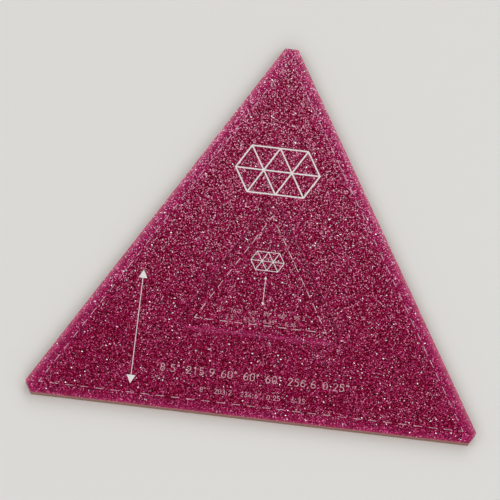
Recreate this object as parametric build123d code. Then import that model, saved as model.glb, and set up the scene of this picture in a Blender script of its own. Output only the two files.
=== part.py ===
from build123d import *

# Nested pair of equilateral-triangle patchwork templates.
#
# Two flat plates of cast acrylic with blunt corners: a large template with a triangular
# opening in its middle, and a small template that lies in that opening and lifts out.
# Each plate is engraved on top with a dashed seam line, corner marks, a grain arrow,
# rows of size numbers and a plain patchwork emblem, and the engraving is filled with paint.
#
# Millimetres. The origin is on the table under the middle of the large plate's box:
# +X runs along the long front edge, +Y towards the tip, +Z up out of the plate.

import os
from math import atan2, cos, degrees, hypot, pi, sin

# ---- driving dimensions ----
INCH = 25.4
LARGE_HEIGHT = 8.5 * INCH        # front edge to blunt tip
SMALL_HEIGHT = 3.0 * INCH
SEAM_ALLOWANCE = 0.25 * INCH     # edge to seam line, and the length cut off each sharp tip
PLATE_THICKNESS = 6.0
KERF = 0.3                       # gap between the small plate and the opening, all round
CORNER_RADIUS = 0.5              # each corner, seen from above
EDGE_BREAK = 0.15                # chamfer on the rims of both faces

ENGRAVING_DEPTH = 0.4
PAINT_THICKNESS = 0.3            # the paint stops a little below the face

# ---- engraved marks ----
SEAM_STROKE = 0.4
DASH_LENGTH = 4.7
CORNER_LEG = 2.4
LARGE_DASH_SPACES = 28           # equal spaces along one side of the seam triangle
SMALL_DASH_SPACES = 9

# Emblem: side of one patch, stroke, middle up from the front edge.
LARGE_EMBLEM = (15.8, 0.9, 142.8)
SMALL_EMBLEM = (6.2, 0.45, 43.4)

# Grain arrow: place across the plate, lower tip, upper tip, stroke, head width and length.
LARGE_ARROW = (-67.5, 11.2, 77.1, 0.45, 5.1, 5.0)
SMALL_ARROW = (0.0, 17.8, 34.8, 0.35, 1.9, 1.8)

# Row of numbers: words, row width, height of a figure, stroke, middle up from the front edge.
# The size rows give the cut height, the three angles, the sharp side and the seam allowance;
# the seam rows give the height and side once sewn, and the seam allowance.
LARGE_NUMBERS = (('8.5"', "215.9", "60*", "60*", "60*", "256.6", '0.25"'), 104.0, 4.2, 0.45, 22.8)
LARGE_SEAM_NUMBERS = (('8"', "203.2", "234.6", '0.25"', "6.35"), 58.0, 2.6, 0.32, 12.5)
SMALL_NUMBERS = (('3"', "76.2", "60*", "60*", "60*", "95.3"), 48.0, 2.1, 0.3, 13.0)
SMALL_SEAM_NUMBERS = (('2.5"', "63.5", '0.25"', "6.35"), 39.0, 2.1, 0.3, 8.7)

FIGURE_WIDTH = 0.6               # widths and gaps below are fractions of a figure's height
FIGURE_GAP = 0.24
NARROW_WIDTH = 0.28              # full stop, inch mark and degree ring

# ---- derived places ----
LARGE_INRADIUS = (LARGE_HEIGHT + SEAM_ALLOWANCE) / 3
SMALL_INRADIUS = (SMALL_HEIGHT + SEAM_ALLOWANCE) / 3
LARGE_FRONT = -LARGE_HEIGHT / 2                  # Y of the large plate's front edge
TRIANGLE_CENTRE = LARGE_FRONT + LARGE_INRADIUS   # Y of the centre that both plates share
SMALL_FRONT = TRIANGLE_CENTRE - SMALL_INRADIUS
POCKET_FLOOR = PLATE_THICKNESS - ENGRAVING_DEPTH


# ---- plates ----
def blunt_triangle(inradius, tip_cut=SEAM_ALLOWANCE):
    """Equilateral triangle about its centre, tip towards +Y, with its three tips cut off."""
    sharp = RegularPolygon(inradius, 3, major_radius=False, rotation=90)
    tips = RegularPolygon(2 * inradius - tip_cut, 3, major_radius=False, rotation=-90)
    return sharp & tips


def plate(outline):
    """Flat plate with rounded corners and broken rims, standing on Z = 0."""
    body = extrude(outline, PLATE_THICKNESS)
    body = fillet(body.edges().filter_by(Axis.Z), CORNER_RADIUS)
    rims = body.edges().group_by(Axis.Z)
    return chamfer(rims[0] + rims[-1], EDGE_BREAK)


# ---- strokes that the marks are drawn with ----
def bar(start, end, width):
    """Straight stroke with round ends."""
    run = (end[0] - start[0], end[1] - start[1])
    middle = Pos((start[0] + end[0]) / 2, (start[1] + end[1]) / 2)
    return middle * Rot(0, 0, degrees(atan2(run[1], run[0]))) * SlotCenterToCenter(hypot(*run), width)


def bend(start, through, end, width):
    """Curved stroke with round ends, along the arc through three points."""
    return SlotArc(ThreePointArc(start, through, end), width)


def ring(centre, radius, width):
    """Closed round stroke."""
    return Pos(*centre) * (Circle(radius + width / 2) - Circle(radius - width / 2))


# ---- seam line ----
def seam_corners(inradius):
    """The three corners of the seam triangle, one allowance inside the plate's sharp outline."""
    reach = 2 * (inradius - SEAM_ALLOWANCE)
    turns = (pi * 7 / 6, -pi / 6, pi / 2)
    return [(reach * cos(turn), reach * sin(turn)) for turn in turns]


def along(start, end, share):
    """Point at a share of the way from start to end."""
    return tuple(a + (b - a) * share for a, b in zip(start, end))


def seam_dashes(inradius, spaces):
    """Dashes at equal spaces along the three sides of the seam triangle."""
    corners = seam_corners(inradius)
    dashes = []
    for start, end in zip(corners, corners[1:] + corners[:1]):
        side = hypot(end[0] - start[0], end[1] - start[1])
        half = (DASH_LENGTH - SEAM_STROKE) / 2 / side
        for k in range(1, spaces):
            back = along(start, end, k / spaces - half)
            tip = along(start, end, k / spaces + half)
            dashes.append(bar(back, tip, SEAM_STROKE))
    return dashes


def corner_marks(inradius):
    """A mark at each corner of the seam triangle: two short legs along its sides."""
    corners = seam_corners(inradius)
    side = hypot(corners[1][0] - corners[0][0], corners[1][1] - corners[0][1])
    marks = []
    for i, corner in enumerate(corners):
        legs = [bar(corner, along(corner, other, CORNER_LEG / side), SEAM_STROKE)
                for other in (corners[i - 1], corners[i - 2])]
        marks.append(legs[0] + legs[1])
    return marks


# ---- grain arrow ----
def grain_arrow(across, low, high, stroke, head_width, head_length):
    """Upright line with a solid triangular head at each end."""
    left, right = across - head_width / 2, across + head_width / 2
    shaft = Pos(across, (low + high) / 2) * Rectangle(stroke, high - low - head_length)
    up = Polygon((left, high - head_length), (right, high - head_length), (across, high), align=None)
    down = Polygon((left, low + head_length), (across, low), (right, low + head_length), align=None)
    return [shaft + up + down]


# ---- emblem ----
def emblem(patch, stroke, centre):
    """Ten triangular patches sewn in two rows, in outline: a long six-sided block."""
    row = patch * cos(pi / 6)
    lines = []
    for level, patches in ((-1, 2), (0, 3), (1, 2)):
        half = patches * patch / 2
        lines.append(bar((-half, level * row), (half, level * row), stroke))
    for level in (-1, 1):
        for corner in (-1, 0, 1):
            for lean in (-0.5, 0.5):
                lines.append(bar((corner * patch, level * row), ((corner + lean) * patch, 0), stroke))
    block = lines[0]
    for line in lines[1:]:
        block = block + line
    return [Pos(0, centre) * block]


# ---- rows of numbers ----
def figure(character, stroke):
    """Skeleton strokes of one figure, drawn one unit high; the star stands for a degree ring."""
    if character == "0":
        return [bend((0.04, 0.7), (0.3, 0.98), (0.56, 0.7), stroke), bar((0.56, 0.7), (0.56, 0.3), stroke),
                bend((0.56, 0.3), (0.3, 0.02), (0.04, 0.3), stroke), bar((0.04, 0.3), (0.04, 0.7), stroke)]
    if character == "1":
        return [bar((0.34, 0.02), (0.34, 0.98), stroke), bar((0.34, 0.98), (0.12, 0.8), stroke)]
    if character == "2":
        return [bend((0.05, 0.74), (0.36, 0.97), (0.5, 0.58), stroke), bar((0.5, 0.58), (0.04, 0.02), stroke),
                bar((0.04, 0.02), (0.56, 0.02), stroke)]
    if character == "3":
        return [bend((0.08, 0.9), (0.49, 0.77), (0.22, 0.54), stroke),
                bend((0.22, 0.54), (0.55, 0.28), (0.05, 0.1), stroke)]
    if character == "4":
        return [bar((0.42, 0.02), (0.42, 0.98), stroke), bar((0.42, 0.98), (0.03, 0.3), stroke),
                bar((0.03, 0.3), (0.57, 0.3), stroke)]
    if character == "5":
        return [bar((0.5, 0.98), (0.12, 0.98), stroke), bar((0.12, 0.98), (0.08, 0.57), stroke),
                bend((0.08, 0.57), (0.55, 0.33), (0.04, 0.09), stroke)]
    if character == "6":
        return [ring((0.3, 0.29), 0.27, stroke), bend((0.03, 0.29), (0.13, 0.72), (0.45, 0.98), stroke)]
    if character == "7":
        return [bar((0.04, 0.98), (0.56, 0.98), stroke), bar((0.56, 0.98), (0.2, 0.02), stroke)]
    if character == "8":
        return [ring((0.3, 0.755), 0.225, stroke), ring((0.3, 0.275), 0.255, stroke)]
    if character == "9":
        return [ring((0.3, 0.71), 0.27, stroke), bend((0.57, 0.71), (0.47, 0.28), (0.15, 0.02), stroke)]
    if character == ".":
        return [Pos(0.14, 0.06) * Circle(stroke * 0.7)]
    if character == '"':
        return [bar((0.07, 0.98), (0.07, 0.78), stroke), bar((0.23, 0.98), (0.23, 0.78), stroke)]
    return [ring((0.14, 0.86), 0.11, stroke)]


def advance(character):
    """Room that one character takes, as a fraction of a figure's height."""
    return (NARROW_WIDTH if character in '."*' else FIGURE_WIDTH) + FIGURE_GAP


def enlarged(shape, factor):
    """Shape scaled about the origin. scale() alone leaves a shape's own place as it was."""
    bigger = scale(shape, factor)
    bigger.position = shape.position * factor
    return bigger


def number_row(words, row_width, height, stroke, middle):
    """Numbers spread evenly over a row, centred across the plate."""
    lengths = [sum(advance(c) for c in word) - FIGURE_GAP for word in words]
    gap = (row_width / height - sum(lengths)) / (len(words) - 1)
    figures = []
    pen = -row_width / height / 2
    for word, length in zip(words, lengths):
        place = pen
        for character in word:
            strokes = figure(character, stroke / height)
            shape = strokes[0]
            for extra in strokes[1:]:
                shape = shape + extra
            figures.append(Pos(place * height, middle - height / 2) * enlarged(shape, height))
            place += advance(character)
        pen += length + gap
    return figures


# ---- engraving ----
def engrave(blank, marks):
    """Cut every mark's pocket into the plate's face; return the plate and the paint of each mark."""
    pockets = []
    paints = {}
    for name, shapes in marks.items():
        floors = [Pos(0, 0, POCKET_FLOOR) * shape for shape in shapes]
        pockets += [extrude(floor, 2 * ENGRAVING_DEPTH) for floor in floors]
        fills = [extrude(floor, PAINT_THICKNESS) for floor in floors]
        paints[name] = Compound([solid for fill in fills for solid in fill.solids()])
    return blank - pockets, paints


def placed(shapes, forward):
    """Move flat shapes towards the tip."""
    return [Pos(0, forward) * shape for shape in shapes]


# ---- large template ----
large_blank = plate(Pos(0, TRIANGLE_CENTRE) * blunt_triangle(LARGE_INRADIUS))
opening = extrude(Pos(0, TRIANGLE_CENTRE, -1) * blunt_triangle(SMALL_INRADIUS + KERF, SEAM_ALLOWANCE + KERF),
                  PLATE_THICKNESS + 2)
large_blank -= fillet(opening.edges().filter_by(Axis.Z), CORNER_RADIUS + KERF)

large_template, large_paint = engrave(large_blank, {
    "large_seam_dashes": placed(seam_dashes(LARGE_INRADIUS, LARGE_DASH_SPACES), TRIANGLE_CENTRE),
    "large_corner_marks": placed(corner_marks(LARGE_INRADIUS), TRIANGLE_CENTRE),
    "large_grain_arrow": placed(grain_arrow(*LARGE_ARROW), LARGE_FRONT),
    "large_size_numbers": placed(number_row(*LARGE_NUMBERS), LARGE_FRONT),
    "large_seam_numbers": placed(number_row(*LARGE_SEAM_NUMBERS), LARGE_FRONT),
    "large_emblem": placed(emblem(*LARGE_EMBLEM), LARGE_FRONT),
})

# ---- small template ----
small_blank = plate(Pos(0, TRIANGLE_CENTRE) * blunt_triangle(SMALL_INRADIUS))
small_template, small_paint = engrave(small_blank, {
    "small_seam_dashes": placed(seam_dashes(SMALL_INRADIUS, SMALL_DASH_SPACES), TRIANGLE_CENTRE),
    "small_corner_marks": placed(corner_marks(SMALL_INRADIUS), TRIANGLE_CENTRE),
    "small_grain_arrow": placed(grain_arrow(*SMALL_ARROW), SMALL_FRONT),
    "small_size_numbers": placed(number_row(*SMALL_NUMBERS), SMALL_FRONT),
    "small_seam_numbers": placed(number_row(*SMALL_SEAM_NUMBERS), SMALL_FRONT),
    "small_emblem": placed(emblem(*SMALL_EMBLEM), SMALL_FRONT),
})

# ---- one STEP file per sub-part ----
os.makedirs("parts", exist_ok=True)
nodes = {"large_template": large_template, "small_template": small_template} | large_paint | small_paint
for name, shape in nodes.items():
    export_step(shape, f"parts/{name}.step")
    print(name, len(shape.solids()), "solids,", round(shape.volume, 1), "mm3")
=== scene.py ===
# Nested pair of equilateral-triangle patchwork templates, laser-cut from one sheet of magenta
# glitter acrylic: a large plate with a triangular opening, and the small plate that lies in it.
import math

import bpy
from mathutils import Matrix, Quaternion, Vector


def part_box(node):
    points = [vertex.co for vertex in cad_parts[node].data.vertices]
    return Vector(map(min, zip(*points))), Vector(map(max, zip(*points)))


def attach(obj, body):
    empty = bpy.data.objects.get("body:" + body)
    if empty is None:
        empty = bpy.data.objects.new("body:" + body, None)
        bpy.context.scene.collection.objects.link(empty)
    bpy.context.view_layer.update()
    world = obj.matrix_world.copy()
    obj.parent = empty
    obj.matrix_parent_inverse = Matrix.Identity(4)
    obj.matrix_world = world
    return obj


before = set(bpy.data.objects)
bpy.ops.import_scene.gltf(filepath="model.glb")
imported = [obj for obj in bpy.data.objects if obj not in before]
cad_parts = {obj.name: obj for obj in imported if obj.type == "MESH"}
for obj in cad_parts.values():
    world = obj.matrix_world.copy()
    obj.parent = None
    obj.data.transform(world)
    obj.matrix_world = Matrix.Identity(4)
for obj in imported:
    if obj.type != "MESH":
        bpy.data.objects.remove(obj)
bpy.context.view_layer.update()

# ---------------------------------------------------------------------------------------
# Large template
# A plate of cast acrylic full of fine metallised glitter, cut to shape by laser, with a
# triangular opening in its middle. The CAD node is the plate; it gets its finish here.
# ---------------------------------------------------------------------------------------
MM = 0.001
SEAM_ALLOWANCE = 6.35            # mm, also the length cut off each sharp tip
FRONT, RIGHT, LEFT = -90, 30, 150        # outward directions of a template's three edges, degrees

GLITTER_WIDTH = 0.42             # mm across one fine flake; real 0.2 mm ones wouldn't show, so drawn coarse
GLITTER_TONES = (                # near-black gaps, crimson ground, pink flakes, a few silvery ones
    (0.0, "#0C0002"), (0.2, "#4A0012"), (0.45, "#800028"), (0.7, "#A00842"), (0.88, "#C23070"),
    (0.97, "#E46CA0"), (1.0, "#FFC4DC"))
GLITTER_LEAN = 0.3               # how far a flake leans, as a share of the face's own normal
CLOUD_WIDTH = 30.0               # mm across the clouds where more or fewer pale flakes settled
CLOUD_SHIFT = 0.055              # how far a cloud moves the flakes along the tones
TIP_REFLECTION_SHIFT = 0.09                 # and how far a painted reflection moves them paler towards the tip
TIP_REFLECTION_FADE = (110.0, -60.0)        # mm up from the triangle's centre, from all of that shift to none
FACE_METALLIC = 0.15
FACE_ROUGHNESS = 0.4

# Painted light: the glow that a cut edge lets in, added to the colour, as (strength, reach in mm).
GLOW_ROSE = "#FFC3BD"            # milky, close to the edge
GLOW_VIOLET = "#FF4FB0"          # further in
SIDE_ROSE, SIDE_VIOLET = (0.21, 3.6), (0.17, 11.0)
FRONT_ROSE, FRONT_VIOLET = (0.05, 1.8), (0.11, 7.0)
OPENING_VIOLET = (0.12, 1.5)
GLOW_START = 0.3                 # mm out from the edge line, so that the glow is whole on the rim

WALL_TAUPE = "#A47A6A"           # matt taupe and brown that the laser leaves on the wall
WALL_BROWN = "#886252"
LASER_LINES = (2.4, 2.4, 0.25)   # to a millimetre: close together round the wall, long up it
WALL_ROSE = "#C86080"            # painted glow on the wall's upper rim
RIM_GLOW = (0.9, 1.8)            # strength, and mm down from the face
GAP_ROSE = "#FF9CC4"             # and more painted glow in the narrow gap, where it lightens the gap's shade
GAP_DEPTH = 1.5                  # mm down from the face
GAP_REACH = (0.5, 1.0)           # mm past the small triangle's edges, to where a wall isn't in the gap
WALL_SPECKS = "#D8B0A8"          # flakes that the laser cut through
SPECK_SHARE, SPECK_STRENGTH = 0.2, 0.35
WALL_ROUGHNESS = 0.7
WALL_MARGIN = 0.2                # mm from the faces where the wall's finish starts


def linear(hex_colour):
    """Linear RGBA of an sRGB hex colour."""
    parts = [int(hex_colour[i:i + 2], 16) / 255 for i in (1, 3, 5)]
    return (*[c / 12.92 if c <= 0.04045 else ((c + 0.055) / 1.055) ** 2.4 for c in parts], 1.0)


def add(tree, kind, inputs=None, **settings):
    """Add one node. Each input is a plain value, or another node's output to link from."""
    node = tree.nodes.new(kind)
    for name, value in settings.items():
        setattr(node, name, value)
    for socket, value in (inputs or {}).items():
        if isinstance(value, bpy.types.NodeSocket):
            tree.links.new(value, node.inputs[socket])
        else:
            node.inputs[socket].default_value = value
    return node


def set_stops(ramp_node, stops):
    """Give a colour ramp its stops: (position, sRGB hex colour) from left to right."""
    elements = ramp_node.color_ramp.elements
    while len(elements) < len(stops):
        elements.new(1.0)
    for element, (position, colour) in zip(elements, stops):
        element.position = position
        element.color = linear(colour)


def triangle_of(node):
    """Centre (mm) and inradius (mm) of the sharp triangle that a template's outline is cut from."""
    low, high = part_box(node)
    inradius = ((high.y - low.y) / MM + SEAM_ALLOWANCE) / 3
    return Vector(((low.x + high.x) / 2 / MM, low.y / MM + inradius, 0)), inradius


def beyond(tree, place, directions, inradius):
    """Distance (mm) past the nearest of these edges' lines, negative on the plate's side of them."""
    distance = None
    for direction in directions:
        turn = math.radians(direction)
        reach = add(tree, "ShaderNodeVectorMath", {0: place, 1: (math.cos(turn), math.sin(turn), 0)},
                    operation="DOT_PRODUCT").outputs["Value"]
        distance = reach if distance is None else add(
            tree, "ShaderNodeMath", {0: distance, 1: reach}, operation="MAXIMUM").outputs[0]
    return add(tree, "ShaderNodeMath", {0: distance, 1: inradius}, operation="SUBTRACT").outputs[0]


def fade(tree, distance, start, end, strength):
    """Strength at one distance, falling smoothly to nothing at another."""
    return add(tree, "ShaderNodeMapRange", {"Value": distance, "From Min": start, "From Max": end,
                                            "To Min": strength, "To Max": 0.0},
               interpolation_type="SMOOTHSTEP").outputs[0]


def tinted(tree, colour, tint, amount, how="MIX"):
    """Lay a hex tint over a colour, mixed in, or with ADD as light on top of it."""
    return add(tree, "ShaderNodeMix", {"Factor": amount, 6: colour, 7: linear(tint)},
               data_type="RGBA", blend_type=how, clamp_result=True).outputs[2]


def painted_edge_glow(tree, place, inradius, colour, directions, rose, violet):
    """Painted light that a cut edge lets in, added to the colour: rose close to it and violet further in."""
    inside = beyond(tree, place, directions, inradius)
    colour = tinted(tree, colour, GLOW_VIOLET, fade(tree, inside, 0.0, -violet[1], violet[0]), "ADD")
    return tinted(tree, colour, GLOW_ROSE, fade(tree, inside, GLOW_START, -rose[1], rose[0]), "ADD")


def large_edges(tree, place, inradius, colour):
    """Painted glow inside the outer edges, and a thin painted glow round the opening."""
    colour = painted_edge_glow(tree, place, inradius, colour, (RIGHT, LEFT), SIDE_ROSE, SIDE_VIOLET)
    colour = painted_edge_glow(tree, place, inradius, colour, (FRONT,), FRONT_ROSE, FRONT_VIOLET)
    # Painted glow round the opening, on the large plate's side of the cut.
    opening = triangle_of("small_template")[1]
    outline = beyond(tree, place, (RIGHT, LEFT, FRONT), opening)
    tips = beyond(tree, place, (RIGHT + 180, LEFT + 180, FRONT + 180), 2 * opening - SEAM_ALLOWANCE)
    outline = add(tree, "ShaderNodeMath", {0: outline, 1: tips}, operation="MAXIMUM").outputs[0]
    strength, reach = OPENING_VIOLET
    return tinted(tree, colour, GLOW_VIOLET, fade(tree, outline, GLOW_START, reach, strength), "ADD")


def glitter_acrylic(name, node, edges):
    """Cast acrylic with glitter: a glossy clear face over leaning flakes, crimson magenta with pink
    and silvery points, with a painted rose glow along its cut edges and a painted reflection paler towards
    the tip;
    the walls are matt taupe with fine upright laser lines, a painted rose glow at their upper rim, and the
    cut flakes showing as specks."""
    centre, inradius = triangle_of(node)
    low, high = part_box(node)
    thickness = (high.z - low.z) / MM
    material = bpy.data.materials.new(name)
    material.use_nodes = True
    tree = material.node_tree
    shader = tree.nodes["Principled BSDF"]

    # Place on the plate in millimetres from the triangle's centre.
    place = add(tree, "ShaderNodeMapping", {
        "Vector": add(tree, "ShaderNodeTexCoord").outputs["Object"],
        "Location": (-centre.x, -centre.y, 0), "Scale": (1 / MM, 1 / MM, 1 / MM)}).outputs[0]
    axes = add(tree, "ShaderNodeSeparateXYZ", {0: place})

    # Fine flakes: one random tone and one random lean each, paler in clouds, and paler towards the tip where
    # a reflection is painted in.
    flake = add(tree, "ShaderNodeTexVoronoi", {"Vector": place, "Scale": 1 / GLITTER_WIDTH})
    chance = add(tree, "ShaderNodeSeparateColor", {0: flake.outputs["Color"]})
    tone = chance.outputs[0]
    clouds = add(tree, "ShaderNodeTexNoise", {"Vector": place, "Scale": 1 / CLOUD_WIDTH, "Detail": 2.0})
    paler = add(tree, "ShaderNodeMath", {0: clouds.outputs[0], 1: CLOUD_SHIFT, 2: -CLOUD_SHIFT / 2},
                operation="MULTIPLY_ADD").outputs[0]
    # The clouds shift the tone at random; the fade towards the tip is a painted reflection.
    for shift in (paler, fade(tree, axes.outputs["Y"], *TIP_REFLECTION_FADE, TIP_REFLECTION_SHIFT)):
        tone = add(tree, "ShaderNodeMath", {0: tone, 1: shift}).outputs[0]
    tones = add(tree, "ShaderNodeValToRGB", {0: tone})
    set_stops(tones, GLITTER_TONES)
    colour = edges(tree, place, inradius, tones.outputs[0])

    # Cut walls.
    off_middle = add(tree, "ShaderNodeMath", {0: axes.outputs["Z"], 1: thickness / 2}, operation="SUBTRACT")
    off_middle = add(tree, "ShaderNodeMath", {0: off_middle.outputs[0]}, operation="ABSOLUTE")
    is_wall = add(tree, "ShaderNodeMath", {0: off_middle.outputs[0], 1: thickness / 2 - WALL_MARGIN},
                  operation="LESS_THAN").outputs[0]
    lines = add(tree, "ShaderNodeMapping", {"Vector": place, "Scale": LASER_LINES})
    grain = add(tree, "ShaderNodeTexNoise", {"Vector": lines.outputs[0], "Scale": 1.0, "Detail": 3.0})
    wall = add(tree, "ShaderNodeMix", {"Factor": grain.outputs[0], 6: linear(WALL_BROWN),
                                       7: linear(WALL_TAUPE)}, data_type="RGBA").outputs[2]
    # Painted glow: the wall's upper rim is tinted rose, and more strongly inside the gap between the plates.
    painted_rim_glow = fade(tree, axes.outputs["Z"], thickness, thickness - RIM_GLOW[1], RIM_GLOW[0])
    wall = tinted(tree, wall, WALL_ROSE, painted_rim_glow)
    gap = beyond(tree, place, (RIGHT, LEFT, FRONT), triangle_of("small_template")[1])
    painted_gap_glow = add(tree, "ShaderNodeMath", {
        0: fade(tree, gap, *GAP_REACH, 1.0),
        1: fade(tree, axes.outputs["Z"], thickness, thickness - GAP_DEPTH, 1.0)}, operation="MULTIPLY")
    wall = tinted(tree, wall, GAP_ROSE, painted_gap_glow.outputs[0])
    specks = add(tree, "ShaderNodeMapRange", {"Value": chance.outputs[1], "From Min": 1 - SPECK_SHARE,
                                              "To Max": SPECK_STRENGTH}).outputs[0]
    wall = tinted(tree, wall, WALL_SPECKS, specks)
    colour = add(tree, "ShaderNodeMix", {"Factor": is_wall, 6: colour, 7: wall}, data_type="RGBA").outputs[2]

    # Leaning flakes catch the light; the walls don't.
    lean = add(tree, "ShaderNodeVectorMath", {0: flake.outputs["Color"], 1: (0.5, 0.5, 0.5)},
               operation="SUBTRACT")
    face_only = add(tree, "ShaderNodeMath", {0: is_wall, 1: -GLITTER_LEAN, 2: GLITTER_LEAN},
                    operation="MULTIPLY_ADD")
    lean = add(tree, "ShaderNodeVectorMath", {0: lean.outputs[0], "Scale": face_only.outputs[0]},
               operation="SCALE")
    normal = add(tree, "ShaderNodeVectorMath", {
        0: add(tree, "ShaderNodeNewGeometry").outputs["Normal"], 1: lean.outputs[0]})
    normal = add(tree, "ShaderNodeVectorMath", {0: normal.outputs[0]}, operation="NORMALIZE")
    metal = add(tree, "ShaderNodeMath", {0: is_wall, 1: -FACE_METALLIC, 2: FACE_METALLIC},
                operation="MULTIPLY_ADD")
    rough = add(tree, "ShaderNodeMath", {0: is_wall, 1: WALL_ROUGHNESS - FACE_ROUGHNESS, 2: FACE_ROUGHNESS},
                operation="MULTIPLY_ADD")

    tree.links.new(colour, shader.inputs["Base Color"])
    tree.links.new(normal.outputs[0], shader.inputs["Normal"])
    tree.links.new(metal.outputs[0], shader.inputs["Metallic"])
    tree.links.new(rough.outputs[0], shader.inputs["Roughness"])
    shader.inputs["IOR"].default_value = 1.49
    shader.inputs["Specular IOR Level"].default_value = 0.05
    shader.inputs["Coat Weight"].default_value = 0.25
    shader.inputs["Coat Roughness"].default_value = 0.06
    shader.inputs["Coat IOR"].default_value = 1.49
    return material


def finish_node(node, material):
    """Give a CAD node one finish all over."""
    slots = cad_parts[node].data.materials
    slots.clear()
    slots.append(material)


finish_node("large_template", glitter_acrylic("glitter_cast_acrylic_large", "large_template", large_edges))

# ---------------------------------------------------------------------------------------
# Small template
# The piece that the laser cut out of the large plate's middle. It is the same sheet and
# lies loose in the opening, so only its edges look different.
# ---------------------------------------------------------------------------------------
EDGE_SHADE = "#3A0A10"           # painted shade, where the large plate's edge takes the light away
SIDE_SHADE = (0.22, 5.0)         # strength, reach in mm
# Painted glow inside the base, as (strength, reach in mm).
BASE_ROSE, BASE_VIOLET = (0.08, 0.7), (0.15, 3.0)


def small_edges(tree, place, inradius, colour):
    """Painted shade inside the upper sides, painted glow inside the base."""
    sides = beyond(tree, place, (RIGHT, LEFT), inradius)
    # Painted shade inside the upper sides, mixed into the colour.
    colour = tinted(tree, colour, EDGE_SHADE, fade(tree, sides, 0.0, -SIDE_SHADE[1], SIDE_SHADE[0]))
    return painted_edge_glow(tree, place, inradius, colour, (FRONT,), BASE_ROSE, BASE_VIOLET)


finish_node("small_template", glitter_acrylic("glitter_cast_acrylic_small", "small_template", small_edges))

# ---------------------------------------------------------------------------------------
# Loose flakes
# A few larger hexagonal flakes of metallised polyester came to rest against the mould, so they
# lie in the cast face itself, leaning, and flash white. They keep off rims and engraving.
# ---------------------------------------------------------------------------------------
FLAKE_WIDTH = 0.85               # mm across; real 0.4 mm ones wouldn't show, so drawn coarse
FLAKE_THICKNESS = 0.04           # mm
FLAKE_SCALE = (0.65, 1.25)       # smallest and largest, as shares of the width
FLAKE_DENSITY = 0.03             # flakes on a square millimetre of face
FLAKE_LEAN = math.radians(14)    # to any side, on top of the slope
FLAKE_SLOPE = math.radians(-8)   # about X, so towards the tip, the way the sheet flowed as it was cast
FLAKE_CLEARANCE = 0.7            # mm from a flake's middle to a rim or an engraved mark
WELD = 0.002                     # mm between corners of the CAD mesh that are one
FACE_MARGIN = 0.01               # mm below the face's height where the tree starts to take faces for it
FLAKE_TONES = ((0.0, "#D880A4"), (0.3, "#F4C4D8"), (0.55, "#FFFFFF"), (1.0, "#F6FCFF"))


def metallised_flake(name):
    """Metallised polyester glitter: thin bright foil, some pink and some nearly white, that flashes
    where it leans towards a lamp."""
    material = bpy.data.materials.new(name)
    material.use_nodes = True
    tree = material.node_tree
    shader = tree.nodes["Principled BSDF"]
    tone = add(tree, "ShaderNodeAttribute", attribute_name="tone").outputs["Fac"]
    tones = add(tree, "ShaderNodeValToRGB", {0: tone})
    set_stops(tones, FLAKE_TONES)
    tree.links.new(tones.outputs[0], shader.inputs["Base Color"])
    shader.inputs["Metallic"].default_value = 0.7
    shader.inputs["Roughness"].default_value = 0.22
    return material


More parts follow.
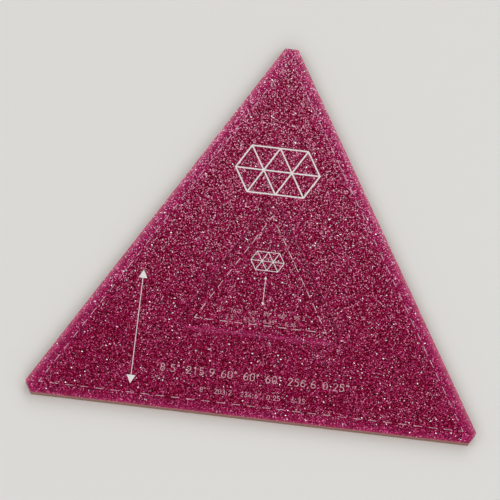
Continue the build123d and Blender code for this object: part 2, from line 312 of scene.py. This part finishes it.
def flakes_on_face(name, material):
    """Geometry Nodes tree that strews leaning hexagonal flakes over the top face of a plate."""
    tree = bpy.data.node_groups.new(name, "GeometryNodeTree")
    tree.interface.new_socket("Geometry", in_out="INPUT", socket_type="NodeSocketGeometry")
    for size in ("Weld", "Face height", "Density", "Width", "Thickness", "Lean", "Slope", "Clearance",
                 "Smallest", "Largest"):
        tree.interface.new_socket(size, in_out="INPUT", socket_type="NodeSocketFloat")
    tree.interface.new_socket("Seed", in_out="INPUT", socket_type="NodeSocketInt")
    tree.interface.new_socket("Geometry", in_out="OUTPUT", socket_type="NodeSocketGeometry")
    given = add(tree, "NodeGroupInput").outputs

    # The flat top face, without rims and pockets.
    welded = add(tree, "GeometryNodeMergeByDistance", {
        "Geometry": given["Geometry"], "Distance": given["Weld"]}).outputs[0]
    height = add(tree, "ShaderNodeSeparateXYZ", {
        0: add(tree, "GeometryNodeInputPosition").outputs[0]}).outputs["Z"]
    on_top = add(tree, "FunctionNodeCompare", {"A": height, "B": given["Face height"]},
                 data_type="FLOAT", operation="GREATER_THAN").outputs[0]
    face = add(tree, "GeometryNodeSeparateGeometry", {"Geometry": welded, "Selection": on_top},
               domain="FACE").outputs["Selection"]

    # Points on it, away from its edges.
    at_edge = add(tree, "FunctionNodeCompare", {
        2: add(tree, "GeometryNodeInputMeshEdgeNeighbors").outputs[0], 3: 1},
                  data_type="INT", operation="EQUAL")
    rims = add(tree, "GeometryNodeSeparateGeometry", {"Geometry": face, "Selection": at_edge.outputs[0]},
               domain="EDGE").outputs["Selection"]
    points = add(tree, "GeometryNodeDistributePointsOnFaces", {
        "Mesh": face, "Density": given["Density"], "Seed": given["Seed"]}).outputs["Points"]
    room = add(tree, "GeometryNodeProximity", {0: rims}, target_element="EDGES").outputs["Distance"]
    tight = add(tree, "FunctionNodeCompare", {"A": room, "B": given["Clearance"]},
                data_type="FLOAT", operation="LESS_THAN").outputs[0]
    points = add(tree, "GeometryNodeDeleteGeometry", {"Geometry": points, "Selection": tight}).outputs[0]

    # One flake on each, spun, leaning, and of its own size and tone.
    flake = add(tree, "GeometryNodeMeshCylinder", {
        "Vertices": 6, "Radius": 0.5, "Depth": add(tree, "ShaderNodeMath", {
            0: given["Thickness"], 1: given["Width"]}, operation="DIVIDE").outputs[0]}).outputs["Mesh"]
    spin = add(tree, "FunctionNodeRandomValue", {2: 0.0, 3: math.pi, "Seed": 1},
               data_type="FLOAT").outputs[1]
    unlike = add(tree, "FunctionNodeRandomValue", {0: (-1, -1, 0), 1: (1, 1, 0), "Seed": 2},
                 data_type="FLOAT_VECTOR").outputs[0]
    lean = add(tree, "ShaderNodeVectorMath", {0: unlike, "Scale": given["Lean"]},
               operation="SCALE").outputs[0]
    slope = add(tree, "ShaderNodeCombineXYZ", {0: given["Slope"]}).outputs[0]
    lean = add(tree, "ShaderNodeVectorMath", {0: lean, 1: slope}).outputs[0]
    turn = add(tree, "FunctionNodeRotateRotation", {
        0: add(tree, "ShaderNodeCombineXYZ", {2: spin}).outputs[0], 1: lean}).outputs[0]
    share = add(tree, "FunctionNodeRandomValue", {2: given["Smallest"], 3: given["Largest"], "Seed": 3},
                data_type="FLOAT").outputs[1]
    width = add(tree, "ShaderNodeMath", {0: share, 1: given["Width"]}, operation="MULTIPLY").outputs[0]
    flakes = add(tree, "GeometryNodeInstanceOnPoints", {
        "Points": points, "Instance": flake, "Rotation": turn, "Scale": width}).outputs[0]
    tone = add(tree, "FunctionNodeRandomValue", {"Seed": 4}, data_type="FLOAT").outputs[1]
    flakes = add(tree, "GeometryNodeStoreNamedAttribute", {"Geometry": flakes, "Name": "tone", "Value": tone},
                 data_type="FLOAT", domain="INSTANCE").outputs[0]
    flakes = add(tree, "GeometryNodeRealizeInstances", {"Geometry": flakes}).outputs[0]
    flakes = add(tree, "GeometryNodeSetMaterial", {"Geometry": flakes, "Material": material}).outputs[0]
    add(tree, "NodeGroupOutput", {0: flakes})
    return tree


flake_tree = flakes_on_face("loose_flakes", metallised_flake("metallised_polyester_flake"))
for seed, (node, body) in enumerate((("large_template", "large_plate"), ("small_template", "small_plate"))):
    flakes = bpy.data.objects.new(f"{body}_loose_flakes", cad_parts[node].data.copy())
    bpy.context.scene.collection.objects.link(flakes)
    strewn = flakes.modifiers.new("strewn", "NODES")
    strewn.node_group = flake_tree
    sizes = {"Weld": WELD * MM, "Face height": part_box(node)[1].z - FACE_MARGIN * MM,
             "Density": FLAKE_DENSITY / MM ** 2, "Width": FLAKE_WIDTH * MM,
             "Thickness": FLAKE_THICKNESS * MM, "Lean": FLAKE_LEAN, "Slope": FLAKE_SLOPE,
             "Clearance": FLAKE_CLEARANCE * MM, "Smallest": FLAKE_SCALE[0], "Largest": FLAKE_SCALE[1],
             "Seed": seed}
    for socket in flake_tree.interface.items_tree:
        if socket.name in sizes:
            strewn[socket.identifier] = sizes[socket.name]
    depsgraph = bpy.context.evaluated_depsgraph_get()
    made = bpy.data.meshes.new_from_object(flakes.evaluated_get(depsgraph), preserve_all_data_layers=True,
                                           depsgraph=depsgraph)
    flakes.modifiers.clear()
    flakes.data = made
    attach(flakes, body)

# ---------------------------------------------------------------------------------------
# Paint in the engraving
# White acrylic paint wiped into the engraved pockets. It lies thick in the arrows and the
# emblem, and so thin in the seam lines and numbers that the glitter breaks it up.
# ---------------------------------------------------------------------------------------
PAINT_GRAIN = 0.5                # mm, the glitter specks that show through the paint
PAINT_ROUGHNESS = 0.6
THICK_PAINT = ("#FFFAFA", "#F4D8DE", 0.7)        # its own colour, the specks', and the share it covers
EVEN_PAINT = ("#FFEEF2", "#D890A8", 0.5)         # the small plate's seam line
THIN_PAINT = ("#F4D0DA", "#B5607C", 0.4)         # the large plate's, and all numbers


def wiped_paint(name, full, thin, cover):
    """Wiped-in acrylic paint: matt pinkish white, broken by specks of the magenta under it."""
    material = bpy.data.materials.new(name)
    material.use_nodes = True
    tree = material.node_tree
    shader = tree.nodes["Principled BSDF"]
    specks = add(tree, "ShaderNodeTexVoronoi", {
        "Vector": add(tree, "ShaderNodeTexCoord").outputs["Object"], "Scale": 1 / (PAINT_GRAIN * MM)})
    chance = add(tree, "ShaderNodeSeparateColor", {0: specks.outputs["Color"]})
    tones = add(tree, "ShaderNodeValToRGB", {0: chance.outputs[0]})
    set_stops(tones, ((0.0, full), (cover, full), (1.0, thin)))
    tree.links.new(tones.outputs[0], shader.inputs["Base Color"])
    shader.inputs["Roughness"].default_value = PAINT_ROUGHNESS
    return material


thick_paint = wiped_paint("white_acrylic_paint_thick", *THICK_PAINT)
even_paint = wiped_paint("white_acrylic_paint_even", *EVEN_PAINT)
thin_paint = wiped_paint("white_acrylic_paint_thin", *THIN_PAINT)
for size in ("large", "small"):
    for mark in ("grain_arrow", "emblem"):
        finish_node(f"{size}_{mark}", thick_paint)
    for mark in ("seam_dashes", "corner_marks"):
        finish_node(f"{size}_{mark}", even_paint if size == "small" else thin_paint)
    for mark in ("size_numbers", "seam_numbers"):
        finish_node(f"{size}_{mark}", thin_paint)

# ---------------------------------------------------------------------------------------
# Table and light
# A plain pale table under soft studio light: a large soft lamp beyond the tip, weaker ones
# round the other sides, and a room that is dark overhead, so the glossy face stays deep.
# ---------------------------------------------------------------------------------------
TABLE_SIZE = 8.0
TABLE_COLOUR = "#FAF9F6"
SKY_COLOUR = "#FFFDFA"
SKY_HEIGHTS = (0.5, 0.8)         # sines of the angles above the horizon between which the sky dims
SKY_STRENGTHS = (0.45, 0.05)     # below and above them
LAMPS = (                        # name, place and size in metres, power in watts
    ("far_lamp", (0.25, 1.3, 1.4), 1.5, 9.4),
    ("near_lamp", (0.1, -1.5, 1.2), 1.4, 7.5),
    ("left_lamp", (-1.1, -0.2, 1.5), 1.3, 6.4),
    ("right_lamp", (1.1, -0.1, 1.5), 1.3, 6.4))

bpy.ops.mesh.primitive_plane_add(size=TABLE_SIZE)
table = bpy.context.active_object
table.name = "table"
table_finish = bpy.data.materials.new("matt_laminate")
table_finish.use_nodes = True
table_shader = table_finish.node_tree.nodes["Principled BSDF"]
table_shader.inputs["Base Color"].default_value = linear(TABLE_COLOUR)
table_shader.inputs["Roughness"].default_value = 0.9
table_shader.inputs["Specular IOR Level"].default_value = 0.1
table.data.materials.append(table_finish)

world = bpy.data.worlds.new("studio")
world.use_nodes = True
bpy.context.scene.world = world
sky = world.node_tree
upward = add(sky, "ShaderNodeSeparateXYZ", {0: add(sky, "ShaderNodeTexCoord").outputs["Generated"]})
dim = add(sky, "ShaderNodeMapRange", {
    "Value": upward.outputs["Z"], "From Min": SKY_HEIGHTS[0], "From Max": SKY_HEIGHTS[1],
    "To Min": SKY_STRENGTHS[0], "To Max": SKY_STRENGTHS[1]})
sky.links.new(dim.outputs[0], sky.nodes["Background"].inputs["Strength"])
sky.nodes["Background"].inputs["Color"].default_value = linear(SKY_COLOUR)

for name, place, size, power in LAMPS:
    lamp = bpy.data.lights.new(name, "AREA")
    lamp.size = size
    lamp.energy = power
    holder = bpy.data.objects.new(name, lamp)
    holder.location = place
    holder.rotation_euler = (-Vector(place)).to_track_quat("-Z", "Y").to_euler()
    bpy.context.scene.collection.objects.link(holder)

# ---------------------------------------------------------------------------------------
# Camera
# A long lens from high up in front, turned a little, so the front wall just shows.
# ---------------------------------------------------------------------------------------
CAMERA_LENS = 300
CAMERA_TILT = math.radians(17)       # off straight down
CAMERA_TURN = math.radians(-2)
CAMERA_ROLL = math.radians(8.694)
CAMERA_DISTANCE = 2.320
CAMERA_TARGET = Vector((-0.01036, -0.01075, 0))

camera = bpy.data.objects.new("camera", bpy.data.cameras.new("camera"))
bpy.context.scene.collection.objects.link(camera)
camera.data.lens = CAMERA_LENS
back = Vector((math.sin(CAMERA_TURN) * math.sin(CAMERA_TILT),
               -math.cos(CAMERA_TURN) * math.sin(CAMERA_TILT), math.cos(CAMERA_TILT)))
camera.location = CAMERA_TARGET + CAMERA_DISTANCE * back
camera.rotation_mode = "QUATERNION"
camera.rotation_quaternion = (-back).to_track_quat("-Z", "Y") @ Quaternion((0, 0, 1), CAMERA_ROLL)
bpy.context.scene.camera = camera
bpy.context.scene.view_settings.view_transform = "Standard"
